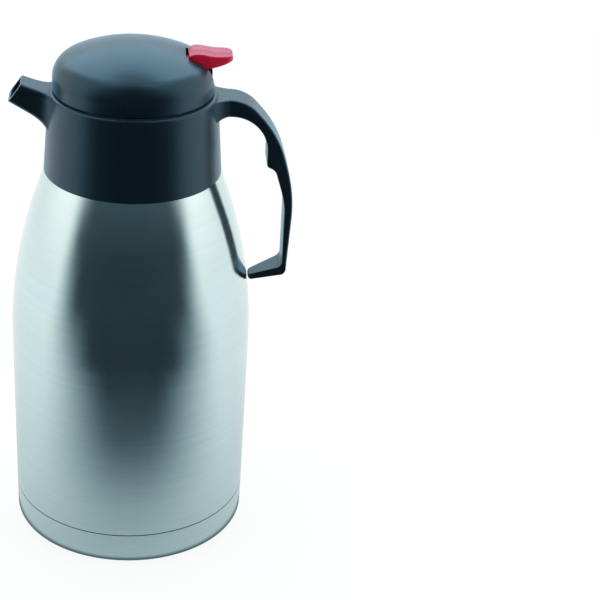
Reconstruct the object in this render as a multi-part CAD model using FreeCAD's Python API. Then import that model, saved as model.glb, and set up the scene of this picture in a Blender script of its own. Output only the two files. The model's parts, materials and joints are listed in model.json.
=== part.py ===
import FreeCAD
import Part
import math
import os

from FreeCAD import Vector

# Double-wall vacuum jug with a press-lever lid. It stands on z = 0 with its axis on z,
# its spout towards -x and its handle towards +x. All sizes are in millimetres.

# Steel body
BODY_RADIUS = 67.0
BODY_TAPER = 0.8
BASE_HEIGHT = 18.5
SHOULDER_Z = 115.0
COLLAR_Z = 217.0
SHELL_WALL = 0.6
FLASK_WALL = 0.5
CUP_WALL = 0.8
JACKET_GAP = 5.5
SEAM_GAP = 0.6
CUP_RECESS = 3.0
CUP_FOOT_WIDTH = 5.0
CUP_CORNER_RADIUS = 3.0
PRESS_GAP = 0.05
SKIRT_GAP = 0.3
SKIRT_Z = 5.0
FLASK_FLOOR_Z = 16.0
FLASK_CORNER_RADIUS = 14.0
NECK_GAP = 1.4
LIP_HEIGHT = 0.6
LIP_OVERHANG = 0.5
BEARING_BAND = 4.5

# Black collar with the lid's well and the spout
COLLAR_HEIGHT = 45.0
COLLAR_TAPER = 3.1
WELL_RADIUS = 40.8
RIM_WIDTH = 4.4
WELL_DEPTH = 20.5
LEDGE_WIDTH = 8.5
COLLAR_WALL = 2.6
COLLAR_TUCK = 7.5
SHOULDER_STEP = 0.5
RIM_ROUND = 1.6
LEDGE_THICKNESS = 1.6
SLEEVE_WALL = 2.4
SLEEVE_LENGTH = 8.5
SEAT_GAP = 0.15
SEAT_ROOM = 0.5
FIT_GAP = 0.1
NECK_GASKET_THICKNESS = 1.0
SPOUT_REACH = 13.8
SPOUT_RISE = 4.5
SPOUT_TIP_WIDTH = 16.0
SPOUT_TIP_HEIGHT = 12.5
SPOUT_TIP_TILT = 55.0
SPOUT_THROAT_SHARE = 0.8
SPOUT_THROAT_RISE = 3.4
SPOUT_THROAT_WIDTH = 16.6
SPOUT_THROAT_HEIGHT = 15.0
SPOUT_WAIST_SHARE = 0.27
SPOUT_WAIST_RISE = 0.9
SPOUT_WAIST_WIDTH = 18.8
SPOUT_WAIST_HEIGHT = 17.6
SPOUT_ROOT_RISE = -0.4
SPOUT_ROOT_WIDTH = 31.0
SPOUT_ROOT_HEIGHT = 25.4
SPOUT_WALL = 1.7
SPOUT_CORNER = 2.6

# Black handle
FINGER_ROOM = 21.2
STRAP_WIDTH = 19.0
STRAP_THICKNESS = 4.8
STUB_ROOT_WIDTH = 28.8
STUB_WAIST_WIDTH = 22.1
STUB_ROOT_HEIGHT = 14.3
STUB_WAIST_HEIGHT = 10.5
ARM_THICKNESS = 9.5
ARM_DROP = 1.7
STUB_LENGTH = 6.0
HANDLE_DROP = 103.5
ARCH_RADIUS = 20.0
ARCH_RUN = 27.65
ARCH_FALL = 20.2
ARCH_SIDE_RADIUS = 60.0
INNER_ARCH_RADIUS = 20.0
SWELL = 0.3
SWELL_RADIUS = 90.0
INNER_SWELL_RADIUS = 45.0
HEEL_INSET = 2.4
HEEL_RADIUS = 4.0
STOP_DROP = 35.5
STOP_DEPTH = 15.6
STOP_SWEEP = 19.0
INNER_SWEEP = 24.7
STOP_NOSE_DROP = 2.9
STOP_HOLLOW_RADIUS = 6.0
STOP_NOSE_RADIUS = 2.4
FOOT_FALL = 6.4
FOOT_THICKNESS = 4.4
FOOT_TIP_RADIUS = 1.5
FOOT_TIP_THICKNESS = 3.3
FOOT_TIP_WIDTH = 7.0
FOOT_CORNER_RADIUS = 3.1
HANDLE_EDGE = 1.2
TONGUE_WIDTH = 14.0
TONGUE_HEIGHT = 6.0
TONGUE_DEPTH = 4.0

# Lid
SEAM_HEIGHT = 1.2
DOME_INSET = 2.0
DOME_SIDE = 6.0
DOME_HEIGHT = 25.0
DOME_CROWN_RADIUS = 85.0
DOME_WALL = 2.0
STOPPER_ROOM = 3.0
STOPPER_WALL = 2.0
STOPPER_NECK_ROOM = 2.0
STOPPER_NECK_ROUND = 1.0
STOPPER_EDGE_ROUND = 0.5
GASKET_INSET = 0.6
GASKET_THICKNESS = 3.4
TURNING_GAP = 0.3
FLANGE_LIFT = 2.2
FLANGE_THICKNESS = 2.1
DECK_DROP = 8.0
PORT_COUNT = 6
PORT_WIDTH = 17.0
PORT_HEIGHT = 4.4
BOSS_RADIUS = 6.5
BOSS_ABOVE = 2.0
BOSS_BELOW = 4.0

# Pouring valve
SEAT_DROP = 5.3
SEAT_RADIUS = 15.0
SEAT_LAND_RADIUS = 21.2
VALVE_RADIUS = 20.4
VALVE_HUB_RADIUS = 13.6
VALVE_GASKET_THICKNESS = 3.0
VALVE_GASKET_ROUND = 0.8
VALVE_FLANGE_THICKNESS = 0.9
VALVE_FLANGE_RADIUS = 18.4
VALVE_HUB_DROP = 0.6
VALVE_SOCKET_HEIGHT = 4.0
VALVE_ROUND = 0.4
DIMPLE_RADIUS = 3.0
DIMPLE_DEPTH = 1.2
STEM_RADIUS = 2.5
STEM_RUNNING_GAP = 0.05
STEM_SOCKET_DROP = 0.5
RING_SECTION_RADIUS = 0.9
RING_GAP = 0.1
CAP_RADIUS = 6.2
CAP_THICKNESS = 2.8
CAP_ROOF = 0.6
CAP_ROUND = 1.0
CAP_UNDER_ROUND = 0.4
SPRING_RADIUS = 4.6
SPRING_WIRE_RADIUS = 0.45
SPRING_TURNS = 5.5
SPRING_LENGTH = 9.7

# Lever
PIVOT_INSET = 9.8
PIVOT_ABOVE_CAP = 3.0
HUB_RADIUS = 3.6
PIN_RADIUS = 1.5
PIN_PRESS_GAP = 0.01
LEVER_ARM_WIDTH = 12.0
LEVER_PAD_WIDTH = 16.4
LEVER_GAP = 0.5
LEVER_OVERHANG = 9.1
LEVER_PAD_LENGTH = 23.5
LEVER_NOSE_RADIUS = 3.2
LEVER_CONTACT_GAP = 0.3
LEVER_EDGE = 0.9
LEVER_DISH = 0.5
LEVER_PAD_OVERLAP = 4.0
ARM_UNDER_HUB = 2.7
ARM_UNDER_PAD = 0.4
ARM_OVER_HUB = 3.0
ARM_OVER_PAD = 6.8
EAR_THICKNESS = 3.0
SLOT_DEPTH = 23.0
SLOT_LEAD = 1.5
# Each station: share of the pad's length, drops of its top and underside below the crown, share of its width
LEVER_PAD_STATIONS = [
    (0, 4.6, 10.0, 0.84),
    (0.1, 3.1, 11.4, 1),
    (0.25, 2.8, 12.0, 1),
    (0.5, 3.7, 10.8, 1),
    (0.75, 4.0, 9.0, 0.98),
    (0.92, 4.0, 7.5, 0.84),
    (1, 5.0, 6.9, 0.5),
]

# Small pieces in the vacuum jacket
GETTER_RADIUS = 7.0
GETTER_HEIGHT = 2.4
SEAL_RADIUS = 4.0
SEAL_HEIGHT = 1.4

# Heights and radii that follow from the sizes above
RIM_Z = COLLAR_Z + COLLAR_HEIGHT
LEDGE_Z = RIM_Z - WELL_DEPTH
LIP_Z = LEDGE_Z - LEDGE_THICKNESS - NECK_GASKET_THICKNESS
RIM_RADIUS = WELL_RADIUS + RIM_WIDTH
COLLAR_BASE_RADIUS = RIM_RADIUS + COLLAR_TAPER
MOUTH_RADIUS = WELL_RADIUS - LEDGE_WIDTH
DOME_RADIUS = RIM_RADIUS - DOME_INSET
STOPPER_RADIUS = WELL_RADIUS - STOPPER_ROOM
STOPPER_NECK_RADIUS = MOUTH_RADIUS - STOPPER_NECK_ROOM
GASKET_RADIUS = STOPPER_RADIUS - GASKET_INSET
BASE_RADIUS = BODY_RADIUS - BODY_TAPER
FLASK_NECK_RADIUS = MOUTH_RADIUS + FIT_GAP + FLASK_WALL
SHELL_NECK_RADIUS = FLASK_NECK_RADIUS + NECK_GAP + SHELL_WALL
SKIRT_RADIUS = BASE_RADIUS - CUP_WALL - SKIRT_GAP
FLASK_RADIUS = BODY_RADIUS - SHELL_WALL - JACKET_GAP
FLASK_SEAM_Z = SHOULDER_Z - COLLAR_TUCK
NECK_Z = COLLAR_Z + COLLAR_TUCK
GASKET_Z = LEDGE_Z + FIT_GAP
STOPPER_Z = GASKET_Z + GASKET_THICKNESS + FIT_GAP
LID_Z = RIM_Z + SEAM_HEIGHT
FLANGE_Z = LID_Z + FLANGE_LIFT
DECK_Z = RIM_Z - DECK_DROP
SEAT_Z = LEDGE_Z - SEAT_DROP
BOSS_TOP_Z = DECK_Z + STOPPER_WALL + BOSS_ABOVE
CAP_Z = BOSS_TOP_Z + SPRING_LENGTH
CAP_TOP_Z = CAP_Z + CAP_THICKNESS
PIVOT_X = PIVOT_INSET - STOPPER_RADIUS
PIVOT_Z = CAP_TOP_Z + PIVOT_ABOVE_CAP
LEVER_REACH = DOME_RADIUS + LEVER_OVERHANG
LEVER_PAD_START = LEVER_REACH - LEVER_PAD_LENGTH
DOME_TOP_Z = LID_Z + DOME_HEIGHT
HANDLE_X = BODY_RADIUS + FINGER_ROOM
HANDLE_TOP_Z = RIM_Z - ARM_DROP
ROUNDING_ROOM = 0.95
AXIS = Vector(0, 0, 1)
ORIGIN = Vector(0, 0, 0)


def arc_from_heading(start, heading, end):
    """Middle point and final heading of the arc that leaves start along heading and ends at end."""
    chord = end - start
    chord_angle = math.atan2(chord.z, chord.x)
    bend = math.atan2(heading.z, heading.x) - chord_angle
    bend = math.atan2(math.sin(bend), math.cos(bend))
    rise = chord.Length / 2 * math.tan(bend / 2)
    left = Vector(-math.sin(chord_angle), 0, math.cos(chord_angle))
    middle = start + chord * 0.5 + left * rise
    final = chord_angle - bend
    return middle, Vector(math.cos(final), 0, math.sin(final))


class Pen:
    """Draws a closed outline of lines and smoothly joined arcs in the xz plane."""

    def __init__(self, x, z):
        self.first = Vector(x, 0, z)
        self.at = self.first
        self.heading = Vector(1, 0, 0)
        self.edges = []

    def line(self, x, z):
        """Draw a straight edge to a point."""
        end = Vector(x, 0, z)
        self.edges.append(Part.LineSegment(self.at, end).toShape())
        self.heading = (end - self.at).normalize()
        self.at = end
        return self

    def curve(self, x, z):
        """Draw an arc to a point that leaves along the present heading."""
        end = Vector(x, 0, z)
        middle, heading = arc_from_heading(self.at, self.heading, end)
        self.edges.append(Part.Arc(self.at, middle, end).toShape())
        self.heading = heading
        self.at = end
        return self

    def face(self):
        """Close the outline with a straight edge and fill it."""
        self.line(self.first.x, self.first.z)
        return Part.Face(Part.Wire(self.edges))


def rounding_shares(points, setbacks):
    """Share of each corner's rounding that fits, so that two roundings never meet on one side."""
    side_shares = []
    for i, setback in enumerate(setbacks):
        following = (i + 1) % len(points)
        length = (points[following] - points[i]).Length
        wanted = setback + setbacks[following]
        side_shares.append(1 if wanted <= length else ROUNDING_ROOM * length / wanted)
    return [min(side_shares[i - 1], share) for i, share in enumerate(side_shares)]


def rounded_face(*corners):
    """Filled outline in the xz plane through corners, each given as x, z and its rounding radius."""
    points = [Vector(x, 0, z) for x, z, _ in corners]
    ways = []
    for i, point in enumerate(points):
        back = (points[i - 1] - point).normalize()
        ahead = (points[(i + 1) % len(points)] - point).normalize()
        ways.append((back, ahead, back.getAngle(ahead) / 2))
    setbacks = [corner[2] / math.tan(way[2]) for corner, way in zip(corners, ways)]
    shares = rounding_shares(points, setbacks)
    joints = []
    for point, corner, (back, ahead, half), setback, share in zip(points, corners, ways, setbacks, shares):
        bisector = (back + ahead).normalize() if corner[2] else ahead
        middle = point + bisector * (corner[2] * share * (1 / math.sin(half) - 1))
        joints.append((point + back * (setback * share), middle, point + ahead * (setback * share)))
    edges = []
    for i, (start, middle, end) in enumerate(joints):
        if corners[i][2]:
            edges.append(Part.Arc(start, middle, end).toShape())
        following = joints[(i + 1) % len(joints)][0]
        edges.append(Part.LineSegment(end, following).toShape())
    return Part.Face(Part.Wire(edges))


def revolved(face):
    """Solid of revolution of a face about the jug's axis."""
    return face.revolve(ORIGIN, AXIS, 360)


def ring(inner, outer, bottom, top, rounding=0):
    """Ring of rectangular section with rounded edges."""
    return revolved(rounded_face((inner, bottom, rounding), (outer, bottom, rounding),
                                 (outer, top, rounding), (inner, top, rounding)))


def cylinder(radius, start, end):
    """Round bar between two points."""
    along = end - start
    return Part.makeCylinder(radius, along.Length, start, along)


def box(x0, x1, half_width, z0, z1):
    """Box between two x and two z values, centred on y = 0."""
    return Part.makeBox(x1 - x0, 2 * half_width, z1 - z0, Vector(x0, -half_width, z0))


def slab(face, half_width):
    """Extrude an outline in the xz plane by the same amount to both sides."""
    raised = face.copy()
    raised.translate(Vector(0, -half_width, 0))
    return raised.extrude(Vector(0, 2 * half_width, 0))


def flat_faces_at(shape, z):
    """The flat faces of a shape that lie at a height."""
    return [f for f in shape.Faces if abs(f.BoundBox.ZMin - z) + abs(f.BoundBox.ZMax - z) < 1e-4]


def hollowed(solid, wall, *open_heights):
    """Thin-walled vessel from a solid, open at the flat faces at the given heights."""
    removed = [f for z in open_heights for f in flat_faces_at(solid, z)]
    return solid.makeThickness(removed, -wall, 1e-4)


def shell_volume():
    """Space inside the steel body's outer face, from the skirt in the base cup to the neck."""
    pen = Pen(0, SKIRT_Z)
    pen.line(SKIRT_RADIUS, SKIRT_Z)
    pen.line(SKIRT_RADIUS, BASE_HEIGHT + PRESS_GAP)
    pen.line(BASE_RADIUS, BASE_HEIGHT + SEAM_GAP)
    end_radius = shoulder_radius(NECK_Z)
    pen.line(BODY_RADIUS, SHOULDER_Z)
    pen.curve(end_radius, NECK_Z)
    pen.line(SHELL_NECK_RADIUS, NECK_Z + (end_radius - SHELL_NECK_RADIUS) / 2)
    pen.line(SHELL_NECK_RADIUS, LIP_Z - LIP_HEIGHT)
    pen.line(0, LIP_Z - LIP_HEIGHT)
    return revolved(pen.face())


def shoulder_radius(z):
    """Radius of the steel shoulder's outer face at a height."""
    heading = Vector(BODY_RADIUS - BASE_RADIUS, 0, SHOULDER_Z - BASE_HEIGHT - SEAM_GAP).normalize()
    start = Vector(BODY_RADIUS, 0, SHOULDER_Z)
    chord = Vector(COLLAR_BASE_RADIUS - SHOULDER_STEP, 0, COLLAR_Z) - start
    inward = Vector(-heading.z, 0, heading.x)
    bend_radius = chord.Length ** 2 / (2 * inward.dot(chord))
    centre = start + inward * bend_radius
    return centre.x + math.sqrt(bend_radius ** 2 - (z - centre.z) ** 2)


def make_outer_shell():
    """Outer steel wall, open at the skirt and at the neck."""
    return hollowed(shell_volume(), SHELL_WALL, SKIRT_Z, LIP_Z - LIP_HEIGHT)


def make_base_cup():
    """Pressed steel cup over the shell's skirt, standing on a flat ring around a raised floor."""
    foot_inner = BASE_RADIUS - CUP_CORNER_RADIUS - CUP_FOOT_WIDTH
    slope = CUP_RECESS
    cup = revolved(rounded_face(
        (0, CUP_RECESS, 0),
        (foot_inner - slope, CUP_RECESS, CUP_WALL * 2),
        (foot_inner, 0, CUP_WALL * 2),
        (BASE_RADIUS - CUP_CORNER_RADIUS / 10, 0, CUP_CORNER_RADIUS),
        (BASE_RADIUS, BASE_HEIGHT, 0),
        (0, BASE_HEIGHT, 0)))
    return hollowed(cup, CUP_WALL, BASE_HEIGHT)


def make_jacket_base():
    """Pressed end plate that closes the vacuum jacket inside the skirt, with a dimple for the seal."""
    radius = SKIRT_RADIUS - SHELL_WALL - PRESS_GAP
    floor = SKIRT_Z + BEARING_BAND
    dimple = SEAL_RADIUS + FIT_GAP
    return revolved(rounded_face(
        (0, floor, 0),
        (dimple + SEAL_HEIGHT, floor, SHELL_WALL),
        (dimple + SEAL_HEIGHT * 2, floor - SEAL_HEIGHT, SHELL_WALL),
        (radius - BEARING_BAND, floor - SEAL_HEIGHT, SHELL_WALL),
        (radius, SKIRT_Z, 0),
        (radius, floor + SHELL_WALL, SHELL_WALL),
        (radius - BEARING_BAND, floor + SHELL_WALL - SEAL_HEIGHT, SHELL_WALL),
        (dimple + SEAL_HEIGHT * 2, floor + SHELL_WALL - SEAL_HEIGHT, SHELL_WALL),
        (dimple + SEAL_HEIGHT, floor + SHELL_WALL, SHELL_WALL),
        (0, floor + SHELL_WALL, 0)))


def make_exhaust_seal():
    """Plug of brazing metal in the end plate's dimple."""
    top = SKIRT_Z + BEARING_BAND
    return revolved(rounded_face(
        (0, top - SEAL_HEIGHT, 0),
        (SEAL_RADIUS, top - SEAL_HEIGHT, SEAL_HEIGHT / 2),
        (SEAL_RADIUS, top, 0),
        (0, top, 0)))


def liner_vessel():
    """Steel liner as one thin vessel: floor, domed corner, ogive shoulder and neck."""
    pen = Pen(0, FLASK_FLOOR_Z)
    pen.line(FLASK_RADIUS - FLASK_CORNER_RADIUS, FLASK_FLOOR_Z)
    pen.curve(FLASK_RADIUS, FLASK_FLOOR_Z + FLASK_CORNER_RADIUS)
    pen.line(FLASK_RADIUS, FLASK_SEAM_Z)
    pen.curve(FLASK_NECK_RADIUS, NECK_Z + COLLAR_TUCK / 4)
    pen.line(FLASK_NECK_RADIUS, LIP_Z)
    pen.line(0, LIP_Z)
    return hollowed(revolved(pen.face()), FLASK_WALL, LIP_Z)


def below_liner_seam():
    """Space under the weld between the liner's two drawn halves."""
    return Part.makeCylinder(BODY_RADIUS, FLASK_SEAM_Z)


def make_inner_flask():
    """Upper half of the steel liner: shoulder, neck and a lip over the shell's neck."""
    upper = liner_vessel().cut(below_liner_seam())
    lip_outer = SHELL_NECK_RADIUS + LIP_OVERHANG
    lip = ring(FLASK_NECK_RADIUS - FLASK_WALL / 2, lip_outer, LIP_Z - LIP_HEIGHT, LIP_Z)
    return upper.fuse(lip).removeSplitter()


def make_flask_cup():
    """Lower half of the steel liner: a drawn cup welded to the upper half."""
    return liner_vessel().common(below_liner_seam())


def make_getter_cup():
    """Shallow getter holder under the liner's floor."""
    return ring(0, GETTER_RADIUS, FLASK_FLOOR_Z - GETTER_HEIGHT, FLASK_FLOOR_Z)


def make_neck_gasket():
    """Flat silicone ring between the flask's lip and the collar's ledge."""
    outer = SHELL_NECK_RADIUS + FIT_GAP
    return ring(MOUTH_RADIUS + FIT_GAP, outer, LIP_Z, LIP_Z + NECK_GASKET_THICKNESS)


def collar_radius(z):
    """Outer radius of the collar's cone at a height."""
    share = (z - COLLAR_Z) / COLLAR_HEIGHT
    return COLLAR_BASE_RADIUS + (RIM_RADIUS - COLLAR_BASE_RADIUS) * share


def collar_ring():
    """Body of the collar: outer cone, well, ledge and the sleeve around the steel neck."""
    under_ledge = LEDGE_Z - LEDGE_THICKNESS
    sleeve_inner = SHELL_NECK_RADIUS + LIP_OVERHANG + FIT_GAP
    sleeve_outer = sleeve_inner + SLEEVE_WALL
    sleeve_z = under_ledge - SLEEVE_LENGTH
    web_z = under_ledge - LEDGE_THICKNESS
    return revolved(rounded_face(
        (shoulder_radius(COLLAR_Z) + SEAT_GAP, COLLAR_Z, 0),
        (COLLAR_BASE_RADIUS, COLLAR_Z, 0),
        (RIM_RADIUS, RIM_Z, RIM_ROUND),
        (WELL_RADIUS, RIM_Z, RIM_ROUND / 2),
        (WELL_RADIUS, LEDGE_Z, 0),
        (MOUTH_RADIUS, LEDGE_Z, LEDGE_THICKNESS / 3),
        (MOUTH_RADIUS, under_ledge, 0),
        (sleeve_inner, under_ledge, 0),
        (sleeve_inner, sleeve_z, 0),
        (sleeve_outer, sleeve_z, 0),
        (sleeve_outer, web_z, 0),
        (collar_radius(web_z) - COLLAR_WALL, web_z, 0),
        (shoulder_radius(NECK_Z) + SEAT_ROOM, NECK_Z, 0)))


def section_wire(centre, up, half_width, half_height, radius, dish=0):
    """Rounded rectangle across y and an upward direction, its top edge hollowed by a dish."""
    across = Vector(0, 1, 0)
    diagonal = radius * (1 - math.sqrt(0.5))
    edges = []
    corners = [(1, 1), (-1, 1), (-1, -1), (1, -1)]
    for i, (side, top) in enumerate(corners):
        next_side, next_top = corners[(i + 1) % len(corners)]
        corner = centre + across * (side * half_width) + up * (top * half_height)
        following = centre + across * (next_side * half_width) + up * (next_top * half_height)
        along = (following - corner).normalize()
        before = up * -top if top == side else across * -side
        end = corner + along * radius
        last = following - along * radius
        middle = corner + across * (-side * diagonal) + up * (-top * diagonal)
        edges.append(Part.Arc(corner + before * radius, middle, end).toShape())
        if dish and top == next_top == 1:
            edges.append(Part.Arc(end, (end + last) * 0.5 - up * dish, last).toShape())
        else:
            edges.append(Part.LineSegment(end, last).toShape())
    return Part.Wire(edges)


def spout_sections(inset, overrun):
    """Root, waist, throat and tip sections of the spout, drawn in by a wall and run past the tip."""
    tilt = math.radians(SPOUT_TIP_TILT)
    tip_up = Vector(math.cos(tilt), 0, math.sin(tilt))
    outward = Vector(-math.sin(tilt), 0, math.cos(tilt))
    root_x = WELL_RADIUS + SPOUT_WALL
    waist_x = RIM_RADIUS + SPOUT_REACH * SPOUT_WAIST_SHARE
    throat_x = RIM_RADIUS + SPOUT_REACH * SPOUT_THROAT_SHARE
    stations = [(root_x, SPOUT_ROOT_RISE, SPOUT_ROOT_WIDTH, SPOUT_ROOT_HEIGHT),
                (waist_x, SPOUT_WAIST_RISE, SPOUT_WAIST_WIDTH, SPOUT_WAIST_HEIGHT),
                (throat_x, SPOUT_THROAT_RISE, SPOUT_THROAT_WIDTH, SPOUT_THROAT_HEIGHT)]
    corner = SPOUT_CORNER - inset / 2
    sections = []
    for reach, rise, width, height in stations:
        centre = Vector(-reach, 0, RIM_Z + rise - height / 2)
        sections.append(section_wire(centre, AXIS, width / 2 - inset, height / 2 - inset, corner))
    tip_top = Vector(-RIM_RADIUS - SPOUT_REACH, 0, RIM_Z + SPOUT_RISE)
    tip = tip_top - tip_up * (SPOUT_TIP_HEIGHT / 2) + outward * overrun
    half_tip = SPOUT_TIP_WIDTH / 2 - inset
    sections.append(section_wire(tip, tip_up, half_tip, SPOUT_TIP_HEIGHT / 2 - inset, corner))
    return sections


def spout_channel():
    """Pouring channel from the well to the spout's open tip."""
    port_height = WELL_DEPTH - SPOUT_CORNER * 3
    port = Vector(-WELL_RADIUS + SPOUT_WALL * 2, 0, RIM_Z - SPOUT_CORNER - port_height / 2)
    port_wire = section_wire(port, AXIS, SPOUT_TIP_WIDTH / 2, port_height / 2, SPOUT_CORNER)
    outer_sections = spout_sections(SPOUT_WALL, SPOUT_WALL)[1:]
    return Part.makeLoft([port_wire] + outer_sections, True, False)


def handle_stub():
    """Flared root on the collar that the handle plugs into."""
    stations = [(WELL_RADIUS + SPOUT_WALL, STUB_ROOT_WIDTH, STUB_ROOT_HEIGHT),
                (RIM_RADIUS + STUB_LENGTH / 3, STUB_WAIST_WIDTH, STUB_WAIST_HEIGHT),
                (RIM_RADIUS + STUB_LENGTH, STRAP_WIDTH, ARM_THICKNESS)]
    sections = []
    for x, width, height in stations:
        centre = Vector(x, 0, HANDLE_TOP_Z - height / 2)
        sections.append(section_wire(centre, AXIS, width / 2, height / 2, HANDLE_EDGE))
    return Part.makeLoft(sections, True, False)


def handle_tongue(gap):
    """Block at the handle's root that fits in the stub's socket."""
    middle = HANDLE_TOP_Z - ARM_THICKNESS / 2
    half_height = TONGUE_HEIGHT / 2 + gap
    seam = RIM_RADIUS + STUB_LENGTH
    return box(seam - TONGUE_DEPTH - gap, seam + TONGUE_DEPTH, TONGUE_WIDTH / 2 + gap,
               middle - half_height, middle + half_height)


def make_collar():
    """Collar moulding with the spout, its pouring channel and the handle's pocket."""
    body = collar_ring()
    outside = Part.makeLoft(spout_sections(0, 0), True, False)
    well = Part.makeCylinder(WELL_RADIUS, COLLAR_HEIGHT, Vector(0, 0, LEDGE_Z))
    branches = outside.fuse(handle_stub()).cut(well)
    return body.fuse(branches).cut(spout_channel()).cut(handle_tongue(FIT_GAP)).removeSplitter()


def handle_outline():
    """Side outline of the handle: arch, strap, heel, foot, finger stop and inner arch."""
    seam = RIM_RADIUS + STUB_LENGTH + PRESS_GAP
    under_z = HANDLE_TOP_Z - ARM_THICKNESS
    strap_x = HANDLE_X - STRAP_THICKNESS
    heel_z = HANDLE_TOP_Z - HANDLE_DROP
    stop_x = HANDLE_X - STOP_DEPTH
    stop_z = HANDLE_TOP_Z - STOP_DROP
    tip_z = heel_z - FOOT_FALL
    tip_x = shoulder_radius(tip_z) + SEAT_GAP
    return rounded_face(
        (seam, HANDLE_TOP_Z, 0),
        (HANDLE_X - ARCH_RUN, HANDLE_TOP_Z, ARCH_RADIUS),
        (HANDLE_X - ARM_THICKNESS, HANDLE_TOP_Z - ARCH_FALL, ARCH_SIDE_RADIUS),
        (HANDLE_X + SWELL, stop_z - STOP_SWEEP, SWELL_RADIUS),
        (HANDLE_X - HEEL_INSET, heel_z, HEEL_RADIUS),
        (tip_x, tip_z, FOOT_TIP_RADIUS),
        (tip_x, tip_z + FOOT_TIP_THICKNESS, FOOT_TIP_RADIUS),
        (strap_x, heel_z + FOOT_THICKNESS, HEEL_RADIUS),
        (strap_x, stop_z - INNER_SWEEP, INNER_SWELL_RADIUS),
        (stop_x + STRAP_THICKNESS, stop_z - STRAP_THICKNESS, STOP_HOLLOW_RADIUS),
        (stop_x, stop_z - STOP_NOSE_DROP, STOP_NOSE_RADIUS),
        (stop_x, under_z, INNER_ARCH_RADIUS),
        (seam, under_z, 0))


def foot_mask():
    """Plan of the handle: a tongue that narrows to a round tip at the foot, open above it."""
    heel_z = HANDLE_TOP_Z - HANDLE_DROP
    foot_top = heel_z + FOOT_THICKNESS + HEEL_RADIUS / 2
    foot_bottom = heel_z - FOOT_FALL * 2
    tip_x = shoulder_radius(heel_z - FOOT_FALL)
    wide = STRAP_WIDTH / 2
    narrow = FOOT_TIP_WIDTH / 2
    plan = rounded_face((tip_x, -narrow, FOOT_CORNER_RADIUS), (HANDLE_X, -wide, 0),
                        (HANDLE_X, wide, 0), (tip_x, narrow, FOOT_CORNER_RADIUS))
    plan.rotate(ORIGIN, Vector(1, 0, 0), 90)
    plan.translate(Vector(0, 0, foot_bottom))
    tongue = plan.extrude(Vector(0, 0, foot_top - foot_bottom))
    above = box(RIM_RADIUS, HANDLE_X + STUB_LENGTH, STRAP_WIDTH, foot_top, RIM_Z)
    return tongue.fuse(above)


def make_handle():
    """Loop handle with softened edges, a tongue-shaped foot and a root tongue."""
    loop = slab(handle_outline(), STRAP_WIDTH / 2)
    seam = RIM_RADIUS + STUB_LENGTH + PRESS_GAP
    past_seam = [e for e in loop.Edges if max(v.X for v in e.Vertexes) > seam + HANDLE_EDGE]
    sides = [e for e in past_seam if runs_along_side(e)]
    loop = loop.makeFillet(HANDLE_EDGE, sides)
    return loop.common(foot_mask()).fuse(handle_tongue(0)).removeSplitter()


def runs_along_side(edge):
    """True for an edge of the handle's flat side faces."""
    return abs(edge.BoundBox.YMax - edge.BoundBox.YMin) < 1e-4


def dome_volume():
    """Space inside the lid's cover: upright side, round corner and a shallow crown."""
    side_z = LID_Z + DOME_SIDE
    crown_z = DOME_TOP_Z - DOME_CROWN_RADIUS
    rise = side_z - crown_z
    surplus = DOME_CROWN_RADIUS ** 2 - DOME_RADIUS ** 2 - rise ** 2
    corner = surplus / (2 * (DOME_CROWN_RADIUS - DOME_RADIUS))
    lean = math.atan2(DOME_RADIUS - corner, rise)
    join_x = DOME_CROWN_RADIUS * math.sin(lean)
    join_z = crown_z + DOME_CROWN_RADIUS * math.cos(lean)
    pen = Pen(0, LID_Z)
    pen.line(DOME_RADIUS, LID_Z)
    pen.line(DOME_RADIUS, side_z)
    pen.curve(join_x, join_z)
    pen.curve(0, DOME_TOP_Z)
    return revolved(pen.face())


def make_lid_dome():
    """Domed cover with the lever's slot in its crown and side."""
    cover = hollowed(dome_volume(), DOME_WALL, LID_Z)
    half_slot = LEVER_PAD_WIDTH / 2 + LEVER_GAP
    slot_start = LEVER_PAD_START - SLOT_LEAD
    slot = box(slot_start, LEVER_REACH, half_slot, DOME_TOP_Z - SLOT_DEPTH, DOME_TOP_Z)
    return cover.cut(slot).removeSplitter()


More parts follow.
